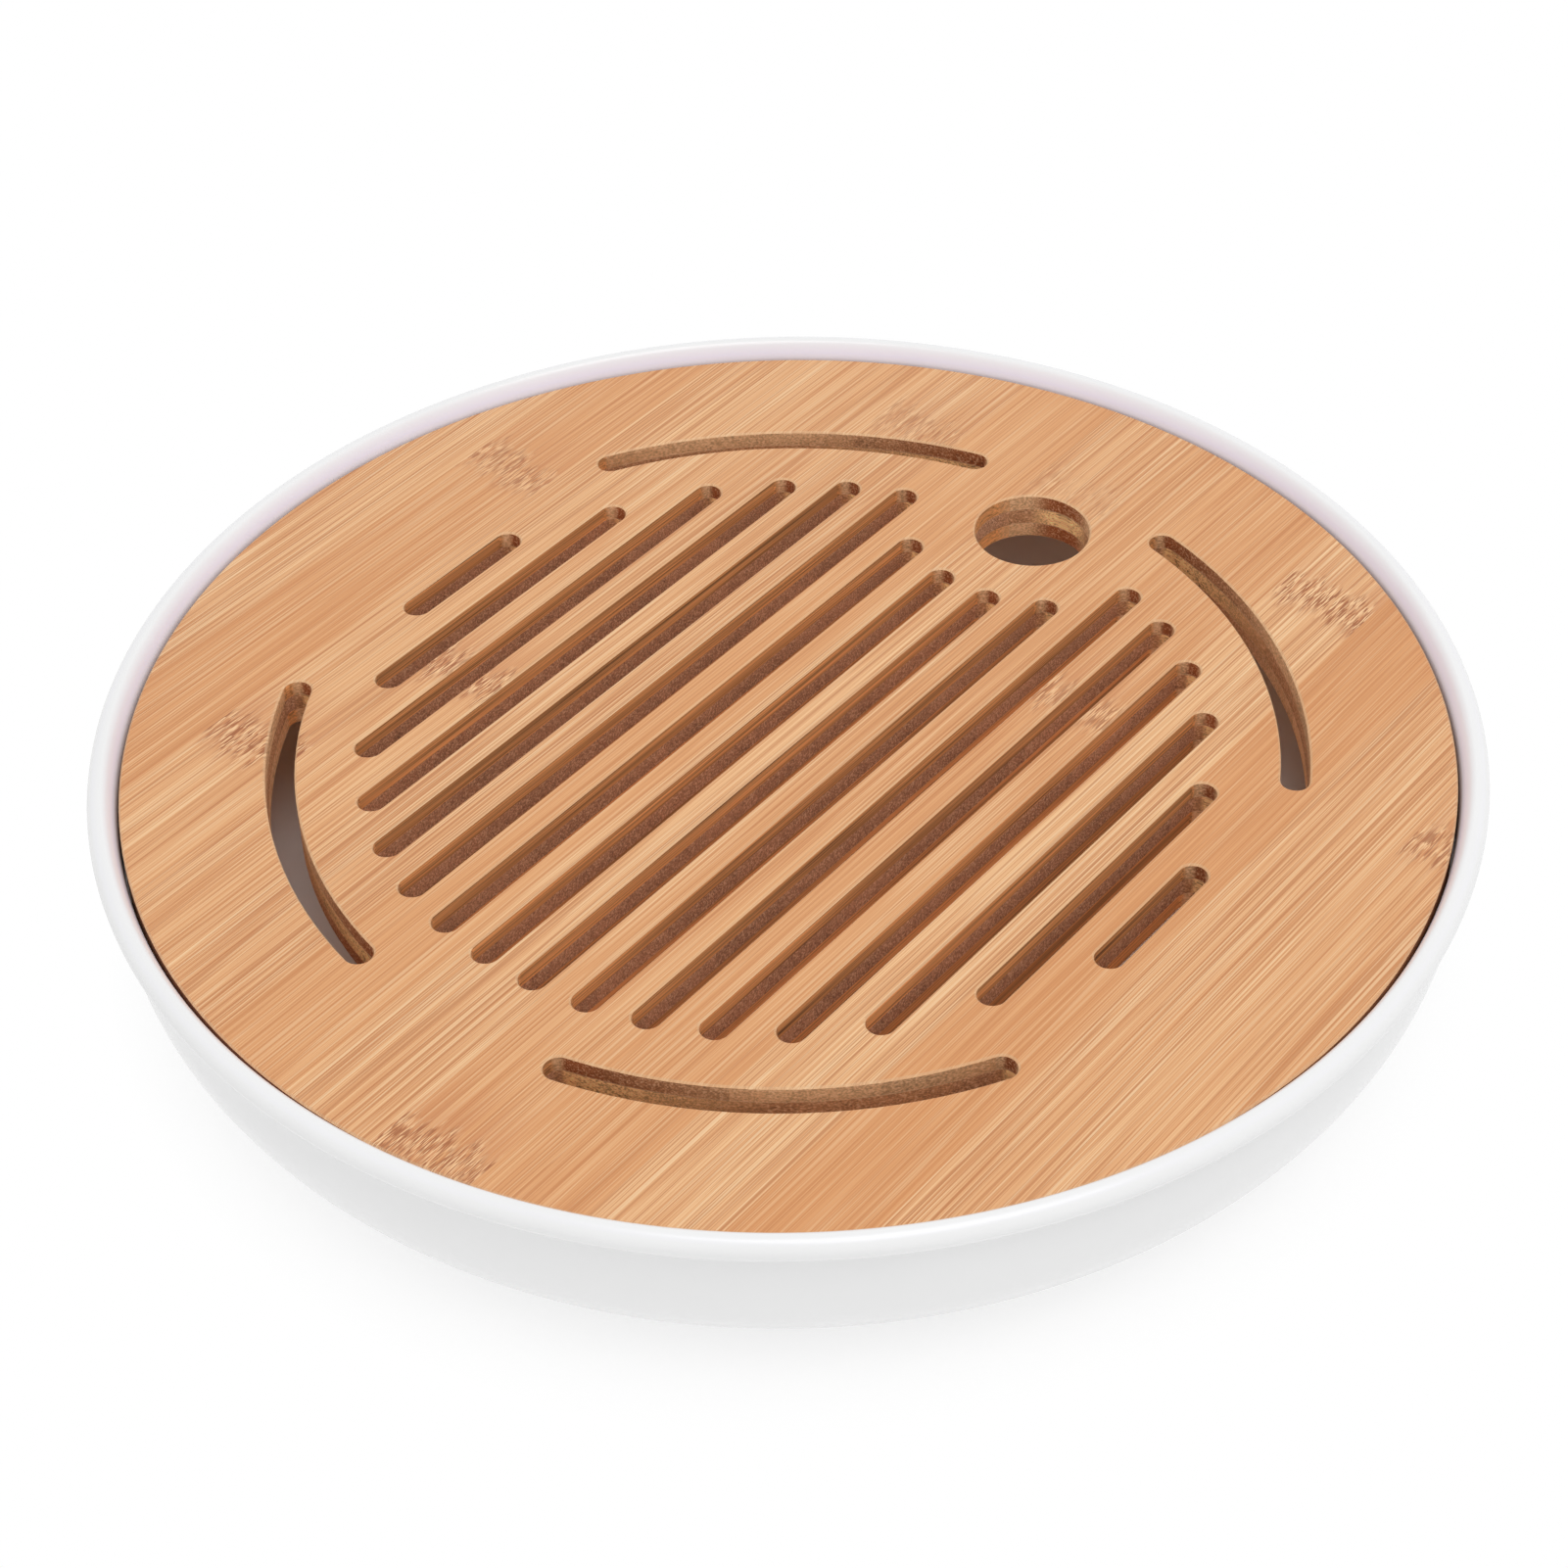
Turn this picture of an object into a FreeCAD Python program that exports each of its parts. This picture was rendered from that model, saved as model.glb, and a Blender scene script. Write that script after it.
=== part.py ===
import FreeCAD, Part
import math
import os

# Round tea tray: a white moulded basin with a slotted bamboo board resting on its inner ledge.
# Z is up, Z = 0 is the table, the slots run along Y and the finger hole is towards +Y. Left is
# towards -X, right towards +X, near towards -Y and far towards +Y.

# Board: three crossed plies, each glued up from bamboo strips of one width
board_dia = 273.0
ply_thickness = 3.8
strip_width = 21.5
core_shift = -2.75          # how far the core's middle strip lies from the board's centre
edge_chamfer = 0.4          # eased edge on both faces, slots included

# Straight drain slots
slot_width = 6.0
slot_pitch = 12.0
side_slot_length = 29.0     # between end centres, on the single short slot at each side

# Arc slots around the straight ones
arc_width = 6.0
arc_border = 29.5           # wood left outside an arc slot
arc_land = 12.0             # wood left between an arc slot and the circle of slot tips
arc_bearing = 37.5          # degrees from the slots' direction to an arc's middle
arc_half_span = 23.3        # degrees from an arc's middle to its end centre

# Finger hole for lifting the board
hole_dia = 25.4
hole_edge_distance = 49.1   # from the hole's centre to the board's edge
hole_land = 20.3            # the slots in front of the hole end on a circle this much larger in radius
hole_land_shift = 6.6       # that circle's centre lies this far beyond the hole's centre

# Basin
overall_height = 49.5
rim_proud = 3.5             # rim crest above the board
board_gap = 0.5             # between the board's edge and the seat that it drops into
seat_drop = 2.1             # seat's upper edge below the board's top
rim_inner_width = 3.2       # the rim's inside is an arc of an upright ellipse, with this half width
rim_inner_height = 10.0     # and this half height
rim_bead_radius = 2.8       # round of the rim's outside
rim_overhang = 3.45         # bead proud of the wall below it
rim_cove_radius = 3.0       # hollow round under the bead
wall_band = 7.4             # straight stretch of the outside, below the cove
flank_width = 37.0          # how far the rounded flank draws in towards the foot
wall_thickness = 3.0
floor_thickness = 3.0
ledge_width = 4.0
foot_height = 2.0
foot_width = 5.0
foot_round = 0.8

# How far every cutting shape runs past the faces that it opens
overrun = 5.0

# Board sizes that follow
board_radius = board_dia / 2
plies = ["bottom", "core", "top"]
board_thickness = ply_thickness * len(plies)
board_top = overall_height - rim_proud
ledge_height = board_top - board_thickness
slot_radius = slot_width / 2
arc_radius = board_radius - arc_border - arc_width / 2
field_radius = arc_radius - arc_width / 2 - arc_land - slot_radius
hole_radius = hole_dia / 2
hole_centre = board_radius - hole_edge_distance
stop_radius = hole_radius + hole_land
stop_centre = hole_centre + hole_land_shift
slots_each_side = int(field_radius // slot_pitch)

# Basin sizes that follow
seat_radius = board_radius + board_gap
seat_top = board_top - seat_drop
rim_inner_middle_height = overall_height - rim_inner_height
seat_angle = math.asin((seat_top - rim_inner_middle_height) / rim_inner_height)
rim_middle_radius = seat_radius + rim_inner_width * math.cos(seat_angle)
rim_middle_height = overall_height - rim_bead_radius
body_radius = rim_middle_radius + rim_bead_radius - rim_overhang
cove_middle_radius = body_radius + rim_cove_radius
cove_drop = math.sqrt((rim_bead_radius + rim_cove_radius) ** 2
                      - (cove_middle_radius - rim_middle_radius) ** 2)
cove_middle_height = rim_middle_height - cove_drop
flank_top = cove_middle_height - wall_band
flank_height = flank_top - foot_height
flank_middle_radius = body_radius - flank_width
floor_height = foot_height + floor_thickness
ledge_radius = seat_radius - ledge_width
foot_inner_radius = flank_middle_radius - foot_width

up = FreeCAD.Vector(0, 0, 1)
right_angle = math.pi / 2


def point(radius, height):
    """Point of the basin's section."""
    return FreeCAD.Vector(radius, 0, height)


def line(start, end):
    return Part.LineSegment(start, end).toShape()


def round_arc(centre, radius, start, end):
    """Circular arc in the basin's section, with its angles in radians from the outward direction."""
    def at(angle):
        return centre + point(radius * math.cos(angle), radius * math.sin(angle))
    return Part.Arc(at(start), at((start + end) / 2), at(end)).toShape()


def oval_arc(centre, half_width, half_height, start, end):
    """Arc of an upright ellipse in the section, with its angles down from its outermost point."""
    half_turn = (end - start) / 2

    def at(angle, reach):
        across = half_width * reach * math.cos(angle)
        down = half_height * reach * math.sin(angle)
        return centre + point(across, -down)
    curve = Part.BezierCurve()
    curve.setPoles([at(start, 1), at(start + half_turn, 1 / math.cos(half_turn)), at(end, 1)])
    curve.setWeight(2, math.cos(half_turn))
    return curve.toShape()


def basin():
    """Bowl with a foot ring, a rounded rim and a seat with a ledge for the board, turned about Z."""
    flank_centre = point(flank_middle_radius, flank_top)
    bead_centre = point(rim_middle_radius, rim_middle_height)
    rim_inner_centre = point(rim_middle_radius, rim_inner_middle_height)
    cove_centre = point(cove_middle_radius, cove_middle_height)
    cove_end = math.atan2(cove_drop, rim_middle_radius - cove_middle_radius)
    hollow_half_width = flank_width - wall_thickness
    hollow_half_height = flank_height - floor_thickness
    shoulder_angle = math.acos((ledge_radius - flank_middle_radius) / hollow_half_width)
    shoulder_height = flank_top - hollow_half_height * math.sin(shoulder_angle)
    inner_foot_round = point(foot_inner_radius + foot_round, foot_round)
    outer_foot_round = point(flank_middle_radius - foot_round, foot_round)
    outline = [
        line(point(0, foot_height), point(foot_inner_radius, foot_height)),
        line(point(foot_inner_radius, foot_height), point(foot_inner_radius, foot_round)),
        round_arc(inner_foot_round, foot_round, math.pi, math.pi + right_angle),
        line(point(foot_inner_radius + foot_round, 0), point(flank_middle_radius - foot_round, 0)),
        round_arc(outer_foot_round, foot_round, -right_angle, 0),
        line(point(flank_middle_radius, foot_round), point(flank_middle_radius, foot_height)),
        oval_arc(flank_centre, flank_width, flank_height, right_angle, 0),
        line(point(body_radius, flank_top), point(body_radius, cove_middle_height)),
        round_arc(cove_centre, rim_cove_radius, math.pi, cove_end),
        round_arc(bead_centre, rim_bead_radius, cove_end - math.pi, right_angle),
        oval_arc(rim_inner_centre, rim_inner_width, rim_inner_height, -right_angle, seat_angle - math.pi),
        line(point(seat_radius, seat_top), point(seat_radius, ledge_height)),
        line(point(seat_radius, ledge_height), point(ledge_radius, ledge_height)),
        line(point(ledge_radius, ledge_height), point(ledge_radius, shoulder_height)),
        oval_arc(flank_centre, hollow_half_width, hollow_half_height, shoulder_angle, right_angle),
        line(point(flank_middle_radius, floor_height), point(0, floor_height)),
        line(point(0, floor_height), point(0, foot_height)),
    ]
    section = Part.Face(Part.Wire(outline))
    return section.revolve(FreeCAD.Vector(0, 0, 0), up, 360)


def through_board(wire):
    """Cutting shape that goes right through the board along a closed wire drawn at Z = 0."""
    face = Part.Face(wire)
    face.translate(up * (ledge_height - overrun))
    return face.extrude(up * (board_thickness + overrun + overrun))


def straight_slot(across, near_end, far_end):
    """Round-ended slot along Y, between two end centres."""
    left = across - slot_radius
    right = across + slot_radius
    near_left = FreeCAD.Vector(left, near_end, 0)
    far_left = FreeCAD.Vector(left, far_end, 0)
    far_right = FreeCAD.Vector(right, far_end, 0)
    near_right = FreeCAD.Vector(right, near_end, 0)
    far_tip = FreeCAD.Vector(across, far_end + slot_radius, 0)
    near_tip = FreeCAD.Vector(across, near_end - slot_radius, 0)
    return through_board(Part.Wire([
        line(near_left, far_left),
        Part.Arc(far_left, far_tip, far_right).toShape(),
        line(far_right, near_right),
        Part.Arc(near_right, near_tip, near_left).toShape(),
    ]))


def far_slot_end(across):
    """End centre of a slot towards the finger hole, where the slots in front of the hole stop short."""
    field_end = math.sqrt(field_radius ** 2 - across ** 2)
    if abs(across) >= stop_radius:
        return field_end
    return min(field_end, stop_centre - math.sqrt(stop_radius ** 2 - across ** 2))


def polar(radius, bearing):
    """Point of the board's plan, at an angle in radians from the slots' direction."""
    return FreeCAD.Vector(radius * math.sin(bearing), radius * math.cos(bearing), 0)


def arc_slot(bearing):
    """Round-ended slot along a circle about the board's centre."""
    middle = math.radians(bearing)
    start = math.radians(bearing - arc_half_span)
    end = math.radians(bearing + arc_half_span)
    inner = arc_radius - arc_width / 2
    outer = arc_radius + arc_width / 2
    past_end = polar(arc_width / 2, end + right_angle)
    past_start = polar(arc_width / 2, start - right_angle)
    return through_board(Part.Wire([
        Part.Arc(polar(outer, start), polar(outer, middle), polar(outer, end)).toShape(),
        Part.Arc(polar(outer, end), polar(arc_radius, end) + past_end, polar(inner, end)).toShape(),
        Part.Arc(polar(inner, end), polar(inner, middle), polar(inner, start)).toShape(),
        Part.Arc(polar(inner, start), polar(arc_radius, start) + past_start, polar(outer, start)).toShape(),
    ]))


def finger_hole():
    rim = Part.Circle(FreeCAD.Vector(0, hole_centre, 0), up, hole_radius)
    return through_board(Part.Wire(rim.toShape()))


def board_openings():
    """Every slot and hole that is routed through the board."""
    openings = [finger_hole()]
    for number in range(slots_each_side):
        across = (number + 1 / 2) * slot_pitch
        near_end = -math.sqrt(field_radius ** 2 - across ** 2)
        for side in (-across, across):
            openings.append(straight_slot(side, near_end, far_slot_end(side)))
    across = (slots_each_side + 1 / 2) * slot_pitch
    for side in (-across, across):
        openings.append(straight_slot(side, -side_slot_length / 2, side_slot_length / 2))
    for bearing in (arc_bearing, -arc_bearing, 180 - arc_bearing, 180 + arc_bearing):
        openings.append(arc_slot(bearing))
    return openings


def board():
    """The whole panel, cut and eased, before it is parted into its strips."""
    disc = Part.makeCylinder(board_radius, board_thickness, FreeCAD.Vector(0, 0, ledge_height))
    panel = disc.cut(board_openings())
    eased = []
    for face in panel.Faces:
        normal = face.normalAt(0, 0)
        if isinstance(face.Surface, Part.Plane) and abs(normal.z) > abs(normal.x):
            eased.extend(face.Edges)
    return panel.Solids[0].makeChamfer(edge_chamfer, eased)


def strip_name(ply, number, sides):
    """Name of a strip by its count from the ply's middle strip, towards one side or the other."""
    if number == 0:
        return f"{ply}_strip_middle"
    side = sides[0] if number < 0 else sides[1]
    return f"{ply}_strip_{side}_{abs(number)}"


def strips(panel, ply, shift, sides, across_y):
    """Named strips of one ply, in order along X, or along Y where they lie across the slots."""
    bottom = ledge_height + plies.index(ply) * ply_thickness
    length = board_dia + overrun + overrun
    reach = math.ceil(board_dia / strip_width)
    pieces = {}
    for number in range(-reach, reach + 1):
        start = max(-board_radius, shift + (number - 1 / 2) * strip_width)
        end = min(board_radius, shift + (number + 1 / 2) * strip_width)
        if start >= end:
            continue
        corner = FreeCAD.Vector(start, -board_radius - overrun, bottom)
        block = Part.makeBox(end - start, length, ply_thickness, corner)
        if across_y:
            corner = FreeCAD.Vector(-board_radius - overrun, start, bottom)
            block = Part.makeBox(length, end - start, ply_thickness, corner)
        pieces[strip_name(ply, number, sides)] = Part.Compound(panel.common(block).Solids)
    return pieces


nodes = {"basin": basin()}
panel = board()
nodes.update(strips(panel, "top", 0, ("left", "right"), False))
nodes.update(strips(panel, "core", core_shift, ("near", "far"), True))
nodes.update(strips(panel, "bottom", 0, ("left", "right"), False))

os.makedirs("parts", exist_ok=True)
for name, shape in nodes.items():
    shape.exportStep(os.path.join("parts", name + ".step"))
    state = "valid" if shape.isValid() else "INVALID"
    print(name, len(shape.Solids), "solids", round(shape.Volume), "mm3", state)
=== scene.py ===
import math

import bmesh
import bpy
from mathutils import Matrix, Vector


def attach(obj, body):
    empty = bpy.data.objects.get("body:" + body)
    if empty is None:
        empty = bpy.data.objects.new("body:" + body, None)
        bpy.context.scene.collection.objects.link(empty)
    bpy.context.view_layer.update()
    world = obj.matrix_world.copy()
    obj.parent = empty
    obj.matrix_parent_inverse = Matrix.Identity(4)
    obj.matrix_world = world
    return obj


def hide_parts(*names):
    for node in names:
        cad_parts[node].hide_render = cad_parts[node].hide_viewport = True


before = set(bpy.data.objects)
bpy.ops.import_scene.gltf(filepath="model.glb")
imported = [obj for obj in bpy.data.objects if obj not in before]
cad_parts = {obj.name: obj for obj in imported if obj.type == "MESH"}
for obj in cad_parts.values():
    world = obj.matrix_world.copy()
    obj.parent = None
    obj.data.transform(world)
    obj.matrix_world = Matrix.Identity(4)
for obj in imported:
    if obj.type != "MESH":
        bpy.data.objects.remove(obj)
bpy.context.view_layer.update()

# Round tea tray: a white gloss basin with a slotted bamboo board. The frame is the model's own: metres,
# Z up, slots along Y, finger hole towards +Y. Shapes and patterns are sized in millimetres.

MM = 0.001

# Camera, in millimetres
EYE = Vector((344.8, -425.0, 508.8)) * MM
AIM = Vector((9.3, -12.7, 46.0)) * MM
CAMERA_ROLL = math.radians(-1.3)
LENS = 79.94
SENSOR = 36.0

# Floor and light, in metres: the floor shows its shading near the axis and is plain white past the reach
FLOOR_SIZE = 3.0
FLOOR_SHADOW_REACH = (0.05, 0.145)
FLOOR_GLOW = 0.04
HORIZON_STRENGTH = 0.74
ZENITH_STRENGTH = 0.76
PLAIN_STRENGTH = 1.0
LAMP_PLACE = Vector((0.6, -0.2, 2.2))
LAMP_SIZE = 1.4
LAMP_POWER = 17.0

# Basin's section, in millimetres
BOARD_RADIUS = 136.5
BOARD_GAP = 0.5
OVERALL_HEIGHT = 49.5
BOARD_TOP = 46.0
SEAT_DROP = 2.1
RIM_INNER_WIDTH = 3.2
RIM_INNER_HEIGHT = 10.0
RIM_BEAD_RADIUS = 2.8
RIM_OVERHANG = 3.45
COVE_RADIUS = 3.0
WALL_BAND = 7.4
FLANK_WIDTH = 37.0
WALL_THICKNESS = 3.0
FLOOR_THICKNESS = 3.0
LEDGE_HEIGHT = 34.6
LEDGE_WIDTH = 4.0
FOOT_HEIGHT = 2.0
FOOT_WIDTH = 5.0
FOOT_ROUND = 0.8

# Basin's mesh
ARC_STEPS = 14
FLANK_STEPS = 28
TURN_STEPS = 320
SHARP_ANGLE = math.radians(20)
MERGE_DISTANCE = 0.001

# White finish: colours as linear shares of white, lengths in millimetres
WHITE_BASE = (0.845, 0.845, 0.845, 1)
# Painted light: a lavender shade cast on the rim's inside next to the board, and warm bounce light painted
# under the board
LAVENDER_SHADE_PAINT = (0.865, 0.85, 0.99, 1)
WARM_BOUNCE_PAINT = (0.93, 0.87, 0.84, 1)
PAINTED_CAST_RISE = 1.0             # the rim's inside has its full cast up to this far above the board
PAINTED_CAST_FACING = (0.0, 0.5)
CLOUD_PATTERN = ((40.0, 40.0, 25.0), 2.0)
CLOUD_SEED = 0.0
CLOUD_LEVELS = (0.3, 0.7)
CLOUD_SHADES = (0.99, 1.01)
GLOSS_ROUGHNESS = (0.20, 0.26)
PEEL_PATTERN = ((5.0, 5.0, 5.0), 1.0)
PEEL_SEED = 5.0
PEEL_STRENGTH = 0.06
PEEL_DEPTH = 0.02
WHITE_IOR = 1.5

# Floor's colours
FLOOR_COLOUR = (0.93, 0.93, 0.93, 1)
PURE_WHITE = (1, 1, 1, 1)

# Bamboo's colours, as linear shares of white
FACE_DARK = (0.507, 0.190, 0.064, 1)
FACE_MIDDLE = (0.705, 0.360, 0.160, 1)
FACE_LIGHT = (0.874, 0.559, 0.295, 1)
FACE_RED = (0.670, 0.292, 0.105, 1)
DARK_LINE = (0.450, 0.164, 0.054, 1)
# Pale grain lines; the same colour is the painted highlight on eased edges
PALE_LINE_AND_EDGE_HIGHLIGHT = (0.893, 0.630, 0.366, 1)
KNUCKLE_DARK = (0.34, 0.105, 0.031, 1)
KNUCKLE_RED = (0.550, 0.210, 0.082, 1)
KNUCKLE_CREAM = (0.93, 0.610, 0.330, 1)
CUT_FLECK = (0.85, 0.62, 0.40, 1)
# Painted shade: the dark of the narrow gap between board and rim, laid on the board's outer edge
GAP_SHADE = (0.20, 0.062, 0.027, 1)
FACE_CUTS = {"Wall": (0.65, 0.292, 0.106, 1), "Cut": (0.72, 0.420, 0.215, 1), "End": (0.345, 0.098, 0.026, 1)}
CORE_CUTS = {"Wall": (0.98, 0.61, 0.28, 1), "Cut": (0.585, 0.285, 0.134, 1), "End": (0.55, 0.268, 0.147, 1)}

# Bamboo's patterns: cell sizes across, along and up a strip in millimetres, and fineness of detail
PATTERNS = {
    "band": ((6.0, 300.0, 9.0), 1.0),
    "streak": ((1.3, 140.0, 1.3), 2.0),
    "fibre": ((0.17, 55.0, 0.35), 1.0),
    "dark line": ((0.34, 80.0, 1.5), 0.0),
    "pale line": ((0.30, 50.0, 1.5), 0.0),
    "drift": ((9.0, 70.0, 9.0), 1.0),
    "ragged": ((1.6, 40.0, 3.0), 2.0),
    "dark fleck": ((0.27, 3.4, 1.0), 0.0),
    "pale fleck": ((0.27, 3.8, 1.0), 0.0),
    "patch": ((4.0, 60.0, 2.5), 2.0),
    "speck": ((0.38, 7.0, 0.38), 1.0),
}
PATTERN_SEED_STEP = 10

# Levels of a pattern between which its marks come in
DARK_LINE_LEVELS = (0.57, 0.63)
PALE_LINE_LEVELS = (0.60, 0.66)
TRAIL_LEVELS = (0.40, 0.56)
FLECK_LEVELS = (0.50, 0.56)
CUT_FLECK_LEVELS = (0.52, 0.68)

# How far the patterns swing the face's tone and redness, and the walls' lightness
MIDDLE_TONE = 0.5
BAND_SWING = 0.36
STREAK_SWING = 0.36
FIBRE_SWING = 2.1
TONE_SHARE = 0.12
DRIFT_SWING = 0.9
REDNESS_SHARE = 0.9
COMMON_REDNESS = 0.35
FULL_REDNESS = 1.4
REDDEST_SHARE = 0.56
WALL_TONE_SHARE = 0.10
PATCH_SWING = 0.5
WALL_STREAK_SWING = 1.2
WALL_FIBRE_SWING = 2.6
SPECK_SWING = 1.8

# How much of its own colour a mark has
LINE_SHARE = 0.60
TRAIL_SHARE = 0.70
PALE_FLECK_SHARE = 0.80
DARK_FLECK_SHARE = 0.92
CUT_FLECK_SHARE = 0.45
JOINT_LINE_SHARE = 0.30
GAP_SHADE_SHARE = 0.72
EASED_HIGHLIGHT_SHARE = 0.35

# Where marks fade, in millimetres: along a knuckle, up to a ply's joint, and the painted gap shade in from
# the board's edge
RAGGED_SWING = 18.0
KNUCKLE_FADE = (7.0, 3.5)
TRAIL_START = (-9.0, -2.0)
TRAIL_END = (22.0, 0.0)
JOINT_LINE_FADE = (0.30, 0.15)
GAP_SHADE_FADE = (1.0, 0.3)

# How squarely a wall faces along the fibres, or a face upwards, where its look changes
CUT_FACING = (0.30, 0.60)
END_FACING = (0.80, 0.97)
SANDED_FACING = (0.30, 0.60)
EASED_HIGHLIGHT_FACING = (0.95, 0.80)

# Bamboo's finish, with its relief in millimetres
WALL_ROUGHNESS = 0.72
FACE_ROUGHNESS = 0.44
ROUGHNESS_SWING = 0.25
FIBRE_RELIEF = 0.6
DARK_LINE_RELIEF = -0.5
DARK_FLECK_RELIEF = -0.8
RELIEF_STRENGTH = 0.25
RELIEF_DEPTH = 0.15
BAMBOO_IOR = 1.45

# Where the plies meet, in millimetres; the core's own walls have no joint line
TOP_JOINT = 42.2
BOTTOM_JOINT = 38.4
NO_JOINT = 0.0

# Top strips: tone from dark (-1) to light (1), redness from yellow (-1) to red (1)
FACE_TONES = {
    "left_6": (0.2, -0.4), "left_5": (-0.5, 0.7), "left_4": (0.5, -0.1), "left_3": (0.3, 0.2),
    "left_2": (0.0, -0.2), "left_1": (0.1, 0.8), "middle": (0.3, -0.2), "right_1": (-0.2, 0.5),
    "right_2": (-0.4, 0.6), "right_3": (0.7, -0.4), "right_4": (-1.0, 1.0), "right_5": (0.2, -0.1),
    "right_6": (0.4, 0.1),
}

# The underside is paler all over
UNDERSIDE_TONE = 2.5

# Bamboo knuckles on the top strips: place in millimetres along Y, and strength
KNUCKLES = {
    "left_5": (36, 0.7), "left_4": (-68, 1.0), "left_3": (-25, 1.0), "left_2": (104, 0.5),
    "middle": (105, 0.3), "right_1": (-131, 0.9), "right_2": (43, 0.7), "right_3": (104, 1.0),
    "right_6": (50, 0.8),
}
NO_KNUCKLE = (1000.0, 0.0)

# Core strips from near to far: tone, and the redness that they share
CORE_TONES = {
    "near_6": 0.0, "near_5": 0.3, "near_4": -0.2, "near_3": 0.6, "near_2": -0.7, "near_1": 0.1,
    "middle": -0.3, "far_1": -0.6, "far_2": 0.7, "far_3": -0.2, "far_4": 0.4, "far_5": -0.4, "far_6": 0.2,
}
CORE_REDNESS = 0.0

# Seeds that give each strip its own piece of bamboo
FACE_SEED_STEP = 7.3
BOTTOM_SEED = 200
CORE_SEED_STEP = 5.9
CORE_SEED = 400

# A core strip's fibres run along X
CORE_TURN = math.pi / 2


class Wiring:
    """Short calls that add shader nodes to one tree and hand back their output sockets."""

    def __init__(self, tree):
        self.tree = tree

    def feed(self, socket, value):
        if isinstance(value, bpy.types.NodeSocket):
            self.tree.links.new(value, socket)
        else:
            socket.default_value = value

    def node(self, kind, feeds, **settings):
        node = self.tree.nodes.new(kind)
        for name, value in settings.items():
            setattr(node, name, value)
        for socket, value in feeds.items():
            self.feed(node.inputs[socket], value)
        return node

    def math(self, operation, *values):
        return self.node("ShaderNodeMath", dict(enumerate(values)), operation=operation).outputs[0]

    def vector_math(self, operation, *values):
        return self.node("ShaderNodeVectorMath", dict(enumerate(values)), operation=operation).outputs

    def times(self, *values):
        product = values[0]
        for value in values[1:]:
            product = self.math("MULTIPLY", product, value)
        return product

    def add(self, *values):
        total = values[0]
        for value in values[1:]:
            total = self.math("ADD", total, value)
        return total

    def swing(self, value, reach):
        """A noise value about one half, made a swing about zero."""
        return self.times(self.math("SUBTRACT", value, 0.5), reach)

    def noise(self, place, seed, pattern):
        """Noise in cells of the pattern's sizes."""
        sizes, detail = pattern
        cells = self.vector_math("MULTIPLY", place, tuple(1 / size for size in sizes))[0]
        feeds = {"Vector": cells, "W": seed, "Scale": 1.0, "Detail": detail}
        return self.node("ShaderNodeTexNoise", feeds, noise_dimensions="4D").outputs["Fac"]

    def ramp(self, value, start, end, low=0.0, high=1.0):
        feeds = {"Value": value, "From Min": start, "From Max": end, "To Min": low, "To Max": high}
        return self.node("ShaderNodeMapRange", feeds).outputs[0]

    def mix(self, share, first, second):
        node = self.node("ShaderNodeMix", {0: share, 6: first, 7: second}, data_type="RGBA")
        return node.outputs[2]

    def shade(self, colour, value):
        """A colour made darker or lighter by a factor."""
        return self.node("ShaderNodeVectorMath", {0: colour, "Scale": value}, operation="SCALE").outputs[0]

    def split(self, vector):
        return self.node("ShaderNodeSeparateXYZ", {0: vector}).outputs

    def level(self, place):
        """The level part of a place: its way out from the axis."""
        return self.vector_math("MULTIPLY", place, (1, 1, 0))[0]


class StripWiring(Wiring):
    """Wiring inside the bamboo group, with what its parts share."""

    def __init__(self, group, entry):
        super().__init__(group)
        self.entry = entry
        self.place = entry["Place"]
        self.facing = self.split(entry["Facing"])
        self.streak = self.pattern("streak")
        self.fibre = self.pattern("fibre")

    def pattern(self, name):
        """A pattern of the strip's own: each has another seed, so no two line up."""
        order = list(PATTERNS).index(name)
        seed = self.add(self.entry["Seed"], PATTERN_SEED_STEP * order)
        return self.noise(self.place, seed, PATTERNS[name])


def new_group(name, inputs, outputs):
    """Empty shader node group with the named sockets, given as {name: kind}."""
    group = bpy.data.node_groups.new(name, "ShaderNodeTree")
    for socket, kind in inputs.items():
        group.interface.new_socket(socket, in_out="INPUT", socket_type="NodeSocket" + kind)
    for socket, kind in outputs.items():
        group.interface.new_socket(socket, in_out="OUTPUT", socket_type="NodeSocket" + kind)
    entry = group.nodes.new("NodeGroupInput")
    result = group.nodes.new("NodeGroupOutput")
    return group, entry.outputs, result.inputs


def long_grain(w, dark_line):
    """Colour along the fibres: wide bands, streaks, single fibres, and thin dark and pale lines."""
    pale_line = w.ramp(w.pattern("pale line"), *PALE_LINE_LEVELS)
    tone = w.add(MIDDLE_TONE, w.swing(w.pattern("band"), BAND_SWING), w.swing(w.streak, STREAK_SWING),
                 w.swing(w.fibre, FIBRE_SWING), w.times(w.entry["Tone"], TONE_SHARE))
    dark_half = w.mix(w.ramp(tone, 0.0, MIDDLE_TONE), FACE_DARK, FACE_MIDDLE)
    grain = w.mix(w.ramp(tone, MIDDLE_TONE, 1.0), dark_half, FACE_LIGHT)
    grain = w.mix(w.times(dark_line, LINE_SHARE), grain, DARK_LINE)
    grain = w.mix(w.times(pale_line, LINE_SHARE), grain, PALE_LINE_AND_EDGE_HIGHLIGHT)
    redness = w.add(w.swing(w.pattern("drift"), DRIFT_SWING), w.times(w.entry["Redness"], REDNESS_SHARE),
                    COMMON_REDNESS)
    return w.mix(w.ramp(redness, 0.0, FULL_REDNESS, 0.0, REDDEST_SHARE), grain, FACE_RED)


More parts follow.
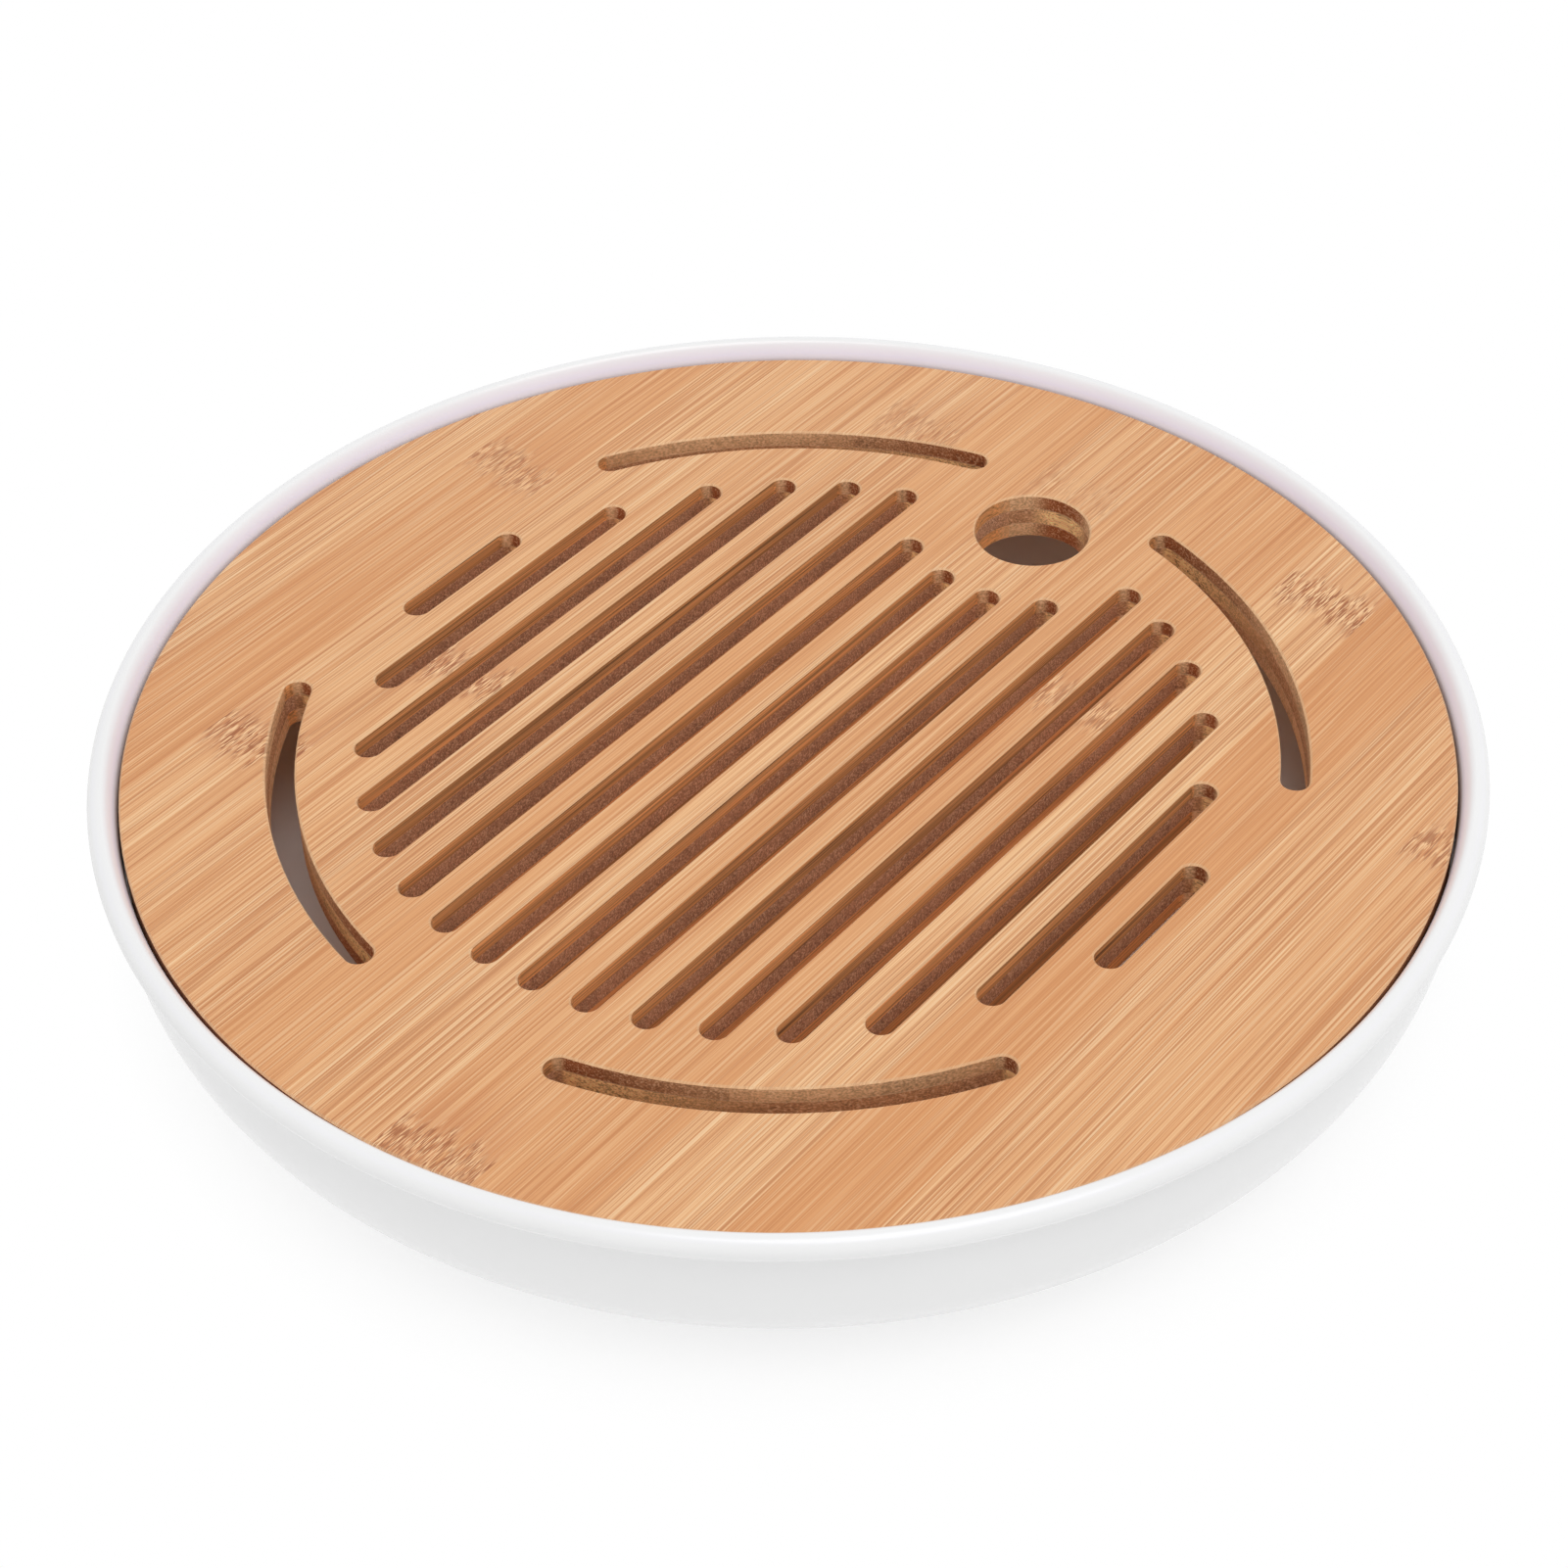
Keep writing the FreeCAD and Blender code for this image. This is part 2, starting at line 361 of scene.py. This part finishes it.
def add_knuckle(w, grain):
    """A ragged band of short dark and cream flecks, with reddish streaks trailing off on its far side."""
    along = w.split(w.place)[1]
    strength = w.entry["Knuckle Strength"]
    offset = w.add(along, w.swing(w.pattern("ragged"), RAGGED_SWING), w.times(w.entry["Knuckle"], -1))
    knuckle = w.times(w.ramp(w.math("ABSOLUTE", offset), *KNUCKLE_FADE), strength)
    trail = w.times(w.ramp(offset, *TRAIL_END), w.ramp(offset, *TRAIL_START),
                    w.ramp(w.streak, *TRAIL_LEVELS), strength)
    dark_fleck = w.times(w.ramp(w.pattern("dark fleck"), *FLECK_LEVELS), knuckle)
    pale_fleck = w.times(w.ramp(w.pattern("pale fleck"), *FLECK_LEVELS), knuckle)
    grain = w.mix(w.times(trail, TRAIL_SHARE), grain, KNUCKLE_RED)
    grain = w.mix(w.times(pale_fleck, PALE_FLECK_SHARE), grain, KNUCKLE_CREAM)
    grain = w.mix(w.times(dark_fleck, DARK_FLECK_SHARE), grain, KNUCKLE_DARK)
    return grain, dark_fleck


def cut_walls(w):
    """Walls, smooth where the cutter ran along the fibres and speckled where it cut across them."""
    across_fibres = w.math("ABSOLUTE", w.facing[1])
    cut_share = w.ramp(across_fibres, *CUT_FACING)
    end_share = w.ramp(across_fibres, *END_FACING)
    speck = w.pattern("speck")
    cut_fleck = w.ramp(speck, *CUT_FLECK_LEVELS)
    patches = w.swing(w.pattern("patch"), PATCH_SWING)
    lightness = w.add(1.0, w.times(w.entry["Tone"], WALL_TONE_SHARE), patches)
    smooth_lightness = w.add(lightness, w.swing(w.streak, WALL_STREAK_SWING),
                             w.swing(w.fibre, WALL_FIBRE_SWING))
    smooth_wall = w.shade(w.entry["Wall"], smooth_lightness)
    cut_colour = w.mix(end_share, w.entry["Cut"], w.entry["End"])
    cut_wall = w.shade(cut_colour, w.add(lightness, w.swing(speck, SPECK_SWING)))
    cut_wall = w.mix(w.times(cut_fleck, CUT_FLECK_SHARE), cut_wall, CUT_FLECK)
    height = w.split(w.place)[2]
    to_joint = w.math("ABSOLUTE", w.math("SUBTRACT", height, w.entry["Joint"]))
    cut_wall = w.mix(w.ramp(to_joint, *JOINT_LINE_FADE, 0.0, JOINT_LINE_SHARE), cut_wall, CUT_FLECK)
    wall = w.mix(cut_share, smooth_wall, cut_wall)
    relief = w.times(w.add(speck, cut_fleck), cut_share)
    return wall, relief


# Painted shade: the board's outer edge is darkened as the narrow gap to the rim would shade it
def paint_gap_shade(w, wall):
    reach = w.vector_math("LENGTH", w.level(w.place))["Value"]
    start, end = (BOARD_RADIUS - inward for inward in GAP_SHADE_FADE)
    return w.mix(w.ramp(reach, start, end, 0.0, GAP_SHADE_SHARE), wall, GAP_SHADE)


def bamboo_group():
    """Bamboo with its fibres along Y: a sanded face with long grain, and the walls that a cutter leaves."""
    inputs = {"Place": "Vector", "Facing": "Vector", "Wall": "Color", "Cut": "Color", "End": "Color"}
    for value in ("Seed", "Tone", "Redness", "Knuckle", "Knuckle Strength", "Joint"):
        inputs[value] = "Float"
    outputs = {"Color": "Color", "Roughness": "Float", "Height": "Float"}
    group, entry, result = new_group("bamboo", inputs, outputs)
    w = StripWiring(group, entry)
    dark_line = w.ramp(w.pattern("dark line"), *DARK_LINE_LEVELS)
    grain, dark_fleck = add_knuckle(w, long_grain(w, dark_line))
    wall, wall_relief = cut_walls(w)
    # Painted shade of the gap to the rim, on the board's outer edge
    wall = paint_gap_shade(w, wall)

    # Painted highlight: eased edges are painted a little paler than the face, as if catching the light
    upright = w.math("ABSOLUTE", w.facing[2])
    sanded = w.ramp(upright, *SANDED_FACING)
    eased_highlight = w.times(sanded, w.ramp(upright, *EASED_HIGHLIGHT_FACING))
    grain = w.mix(w.times(eased_highlight, EASED_HIGHLIGHT_SHARE), grain, PALE_LINE_AND_EDGE_HIGHLIGHT)
    grain_relief = w.add(w.times(w.fibre, FIBRE_RELIEF), w.times(dark_line, DARK_LINE_RELIEF),
                         w.times(dark_fleck, DARK_FLECK_RELIEF))
    roughness = w.add(WALL_ROUGHNESS, w.times(sanded, FACE_ROUGHNESS - WALL_ROUGHNESS),
                      w.swing(w.fibre, ROUGHNESS_SWING))
    w.feed(result["Color"], w.mix(sanded, wall, grain))
    w.feed(result["Roughness"], roughness)
    w.feed(result["Height"], w.mix(sanded, wall_relief, grain_relief))
    return group


def new_material(name):
    material = bpy.data.materials.new(name)
    material.use_nodes = True
    material.node_tree.nodes.clear()
    return material, Wiring(material.node_tree)


def surface(w, shader):
    w.node("ShaderNodeOutputMaterial", {"Surface": shader})


def place_in_mm(w, coords, turn=0.0):
    feeds = {"Vector": coords["Object"], "Rotation": (0, 0, turn), "Scale": (1 / MM, 1 / MM, 1 / MM)}
    return w.node("ShaderNodeMapping", feeds).outputs[0]


def bamboo(name, group, feeds, turn=0.0):
    """Material of one strip. The turn brings its fibres onto the group's Y."""
    material, w = new_material(name)
    coords = w.node("ShaderNodeTexCoord", {}).outputs
    facing = w.node("ShaderNodeMapping", {"Vector": coords["Normal"], "Rotation": (0, 0, turn)}).outputs[0]
    feeds = {**feeds, "Place": place_in_mm(w, coords, turn), "Facing": facing}
    grain = w.node("ShaderNodeGroup", {}, node_tree=group)
    for socket, value in feeds.items():
        w.feed(grain.inputs[socket], value)
    bump = w.node("ShaderNodeBump", {
        "Height": grain.outputs["Height"], "Strength": RELIEF_STRENGTH, "Distance": RELIEF_DEPTH * MM})
    shader = w.node("ShaderNodeBsdfPrincipled", {
        "Base Color": grain.outputs["Color"], "Roughness": grain.outputs["Roughness"],
        "Normal": bump.outputs[0], "IOR": BAMBOO_IOR})
    surface(w, shader.outputs[0])
    return material


def white_melamine():
    """Glossy white moulding, with painted light: a lavender shade cast on the rim's inside and warm bounce
    light under the board.
    """
    material, w = new_material("white_melamine")
    coords = w.node("ShaderNodeTexCoord", {}).outputs
    place = place_in_mm(w, coords)
    outward = w.vector_math("NORMALIZE", w.level(place))[0]
    turned_out = w.vector_math("DOT_PRODUCT", coords["Normal"], outward)["Value"]
    turned_in = w.math("SUBTRACT", w.split(coords["Normal"])[2], turned_out)
    height = w.split(place)[2]
    # Painted light: the rim's inside takes a painted lavender shade near the board, and painted warm bounce
    # light below it
    full_painted_cast = BOARD_TOP + PAINTED_CAST_RISE
    inside = w.times(w.ramp(turned_in, *PAINTED_CAST_FACING), w.ramp(height, OVERALL_HEIGHT, full_painted_cast))
    painted_cast_colour = w.mix(w.ramp(height, full_painted_cast, BOARD_TOP - SEAT_DROP), LAVENDER_SHADE_PAINT, WARM_BOUNCE_PAINT)
    cloud = w.noise(place, CLOUD_SEED, CLOUD_PATTERN)
    peel = w.noise(place, PEEL_SEED, PEEL_PATTERN)
    colour = w.mix(inside, WHITE_BASE, painted_cast_colour)
    colour = w.shade(colour, w.ramp(cloud, *CLOUD_LEVELS, *CLOUD_SHADES))
    roughness = w.ramp(cloud, *CLOUD_LEVELS, *GLOSS_ROUGHNESS)
    bump = w.node("ShaderNodeBump", {"Height": peel, "Strength": PEEL_STRENGTH, "Distance": PEEL_DEPTH * MM})
    shader = w.node("ShaderNodeBsdfPrincipled", {
        "Base Color": colour, "Roughness": roughness, "Normal": bump.outputs[0], "IOR": WHITE_IOR})
    surface(w, shader.outputs[0])
    return material


def dress(node, material):
    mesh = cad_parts[node].data
    mesh.materials.clear()
    mesh.materials.append(material)


def dress_face_strips(group):
    """Top and bottom plies: strips with knuckles, and the underside paler than the top."""
    for number, (place, (tone, redness)) in enumerate(FACE_TONES.items()):
        knuckle, strength = KNUCKLES.get(place, NO_KNUCKLE)
        seed = FACE_SEED_STEP * number
        shared = {"Redness": redness, "Knuckle Strength": strength, **FACE_CUTS}
        top = {"Seed": seed, "Tone": tone, "Knuckle": knuckle, "Joint": TOP_JOINT}
        bottom = {"Seed": seed + BOTTOM_SEED, "Tone": UNDERSIDE_TONE - tone, "Knuckle": -knuckle,
                  "Joint": BOTTOM_JOINT}
        for name, own in ((f"top_strip_{place}", top), (f"bottom_strip_{place}", bottom)):
            dress(name, bamboo(name, group, {**shared, **own}))


def dress_core_strips(group):
    """Core ply: strips across the others, seen only in the walls."""
    knuckle, strength = NO_KNUCKLE
    shared = {"Redness": CORE_REDNESS, "Knuckle": knuckle, "Knuckle Strength": strength, "Joint": NO_JOINT}
    for number, (place, tone) in enumerate(CORE_TONES.items()):
        name = f"core_strip_{place}"
        own = {"Seed": CORE_SEED_STEP * number + CORE_SEED, "Tone": tone}
        dress(name, bamboo(name, group, {**shared, **own, **CORE_CUTS}, CORE_TURN))


def arc_points(middle, half_width, half_height, start, end, steps):
    """Points of an upright ellipse's arc, with its angles in radians from the outward direction."""
    points = []
    for step in range(steps + 1):
        angle = start + (end - start) * step / steps
        points.append((middle[0] + half_width * math.cos(angle), middle[1] + half_height * math.sin(angle)))
    return points


def basin_section():
    """Closed section as radius and height in millimetres, from the axis under the floor round to it."""
    quarter = math.pi / 2
    seat_radius = BOARD_RADIUS + BOARD_GAP
    rim_inner_middle = OVERALL_HEIGHT - RIM_INNER_HEIGHT
    seat_angle = math.asin((BOARD_TOP - SEAT_DROP - rim_inner_middle) / RIM_INNER_HEIGHT)
    rim_middle_radius = seat_radius + RIM_INNER_WIDTH * math.cos(seat_angle)
    rim_middle = (rim_middle_radius, OVERALL_HEIGHT - RIM_BEAD_RADIUS)
    body_radius = rim_middle_radius + RIM_BEAD_RADIUS - RIM_OVERHANG
    away = body_radius + COVE_RADIUS - rim_middle_radius
    drop = math.sqrt((RIM_BEAD_RADIUS + COVE_RADIUS) ** 2 - away ** 2)
    cove_middle = (body_radius + COVE_RADIUS, rim_middle[1] - drop)
    cove_end = math.atan2(drop, -away)
    flank_middle = (body_radius - FLANK_WIDTH, cove_middle[1] - WALL_BAND)
    flank_height = flank_middle[1] - FOOT_HEIGHT
    foot_inner = flank_middle[0] - FOOT_WIDTH
    ledge_radius = seat_radius - LEDGE_WIDTH
    hollow_width = FLANK_WIDTH - WALL_THICKNESS
    hollow_height = flank_height - FLOOR_THICKNESS
    shoulder = math.acos((ledge_radius - flank_middle[0]) / hollow_width)
    points = [(0, FOOT_HEIGHT), (foot_inner, FOOT_HEIGHT)]
    points += arc_points((foot_inner + FOOT_ROUND, FOOT_ROUND), FOOT_ROUND, FOOT_ROUND,
                         math.pi, math.pi + quarter, ARC_STEPS)
    points += arc_points((flank_middle[0] - FOOT_ROUND, FOOT_ROUND), FOOT_ROUND, FOOT_ROUND,
                         -quarter, 0, ARC_STEPS)
    points += arc_points(flank_middle, FLANK_WIDTH, flank_height, -quarter, 0, FLANK_STEPS)
    points += arc_points(cove_middle, COVE_RADIUS, COVE_RADIUS, math.pi, cove_end, ARC_STEPS)
    points += arc_points(rim_middle, RIM_BEAD_RADIUS, RIM_BEAD_RADIUS, cove_end - math.pi, quarter, ARC_STEPS)
    points += arc_points((rim_middle_radius, rim_inner_middle), RIM_INNER_WIDTH, RIM_INNER_HEIGHT,
                         quarter, math.pi - seat_angle, FLANK_STEPS)
    points += [(seat_radius, LEDGE_HEIGHT), (ledge_radius, LEDGE_HEIGHT)]
    points += arc_points(flank_middle, hollow_width, hollow_height, -shoulder, -quarter, FLANK_STEPS)
    points += [(0, FOOT_HEIGHT + FLOOR_THICKNESS)]
    return points


def add_basin():
    """The basin again, turned in finer steps than the CAD mesh so that its gloss runs smoothly."""
    shape = bmesh.new()
    section = [shape.verts.new((radius * MM, 0, height * MM)) for radius, height in basin_section()]
    edges = [shape.edges.new(pair) for pair in zip(section, section[1:])]
    bmesh.ops.spin(shape, geom=section + edges, cent=(0, 0, 0), axis=(0, 0, 1), angle=math.tau,
                   steps=TURN_STEPS, use_merge=True)
    bmesh.ops.remove_doubles(shape, verts=shape.verts, dist=MERGE_DISTANCE * MM)
    bmesh.ops.recalc_face_normals(shape, faces=shape.faces)
    for face in shape.faces:
        face.smooth = True
    for edge in shape.edges:
        edge.smooth = edge.calc_face_angle() < SHARP_ANGLE
    mesh = bpy.data.meshes.new("basin_smooth")
    shape.to_mesh(mesh)
    shape.free()
    mesh.materials.append(white_melamine())
    basin = link(bpy.data.objects.new("basin_smooth", mesh))
    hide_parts("basin")
    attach(basin, "basin")


def link(thing):
    bpy.context.scene.collection.objects.link(thing)
    return thing


def background_ray(w):
    """1 for the rays that should meet a plain white background: seen directly, mirrored or through glass."""
    path = w.node("ShaderNodeLightPath", {}).outputs
    seen = w.math("MAXIMUM", path["Is Camera Ray"], path["Is Glossy Ray"])
    return w.math("MAXIMUM", seen, path["Is Transmission Ray"])


def add_floor():
    """Pale floor that shows the tray's shadow and fades to plain white away from it."""
    mesh = bpy.data.meshes.new("floor")
    shape = bmesh.new()
    bmesh.ops.create_grid(shape, x_segments=1, y_segments=1, size=FLOOR_SIZE)
    shape.to_mesh(mesh)
    shape.free()
    material, w = new_material("floor")
    coords = w.node("ShaderNodeTexCoord", {}).outputs
    reach = w.vector_math("LENGTH", coords["Object"])["Value"]
    far = w.times(w.ramp(reach, *FLOOR_SHADOW_REACH), background_ray(w))
    matt = w.node("ShaderNodeBsdfDiffuse", {"Color": FLOOR_COLOUR}).outputs[0]
    glow = w.node("ShaderNodeEmission", {"Color": PURE_WHITE, "Strength": FLOOR_GLOW}).outputs[0]
    near = w.node("ShaderNodeAddShader", {0: matt, 1: glow}).outputs[0]
    plain = w.node("ShaderNodeEmission", {"Color": PURE_WHITE, "Strength": PLAIN_STRENGTH}).outputs[0]
    surface(w, w.node("ShaderNodeMixShader", {0: far, 1: near, 2: plain}).outputs[0])
    mesh.materials.append(material)
    link(bpy.data.objects.new("floor", mesh))


def add_light():
    """White surroundings, a little brighter overhead, and one large soft lamp."""
    world = bpy.data.worlds.new("studio")
    bpy.context.scene.world = world
    world.use_nodes = True
    world.node_tree.nodes.clear()
    w = Wiring(world.node_tree)
    upward = w.split(w.node("ShaderNodeTexCoord", {}).outputs["Generated"])[2]
    sky_strength = w.ramp(upward, 0.0, 1.0, HORIZON_STRENGTH, ZENITH_STRENGTH)
    strength = w.math("MAXIMUM", background_ray(w), sky_strength)
    sky = w.node("ShaderNodeBackground", {"Color": PURE_WHITE, "Strength": strength})
    w.node("ShaderNodeOutputWorld", {"Surface": sky.outputs[0]})
    lamp = bpy.data.lights.new("soft_lamp", "AREA")
    lamp.size = LAMP_SIZE
    lamp.energy = LAMP_POWER
    light = link(bpy.data.objects.new("soft_lamp", lamp))
    turn = (AIM - LAMP_PLACE).to_track_quat("-Z", "Y")
    light.matrix_world = Matrix.Translation(LAMP_PLACE) @ turn.to_matrix().to_4x4()


def add_camera():
    data = bpy.data.cameras.new("camera")
    data.sensor_width = SENSOR
    data.lens = LENS
    camera = link(bpy.data.objects.new("camera", data))
    turn = (AIM - EYE).to_track_quat("-Z", "Y").to_matrix().to_4x4()
    camera.matrix_world = Matrix.Translation(EYE) @ turn @ Matrix.Rotation(CAMERA_ROLL, 4, "Z")
    bpy.context.scene.camera = camera


add_camera()
add_floor()
add_light()
bamboo_nodes = bamboo_group()
dress_face_strips(bamboo_nodes)
dress_core_strips(bamboo_nodes)
add_basin()
bpy.context.scene.view_settings.view_transform = "Standard"
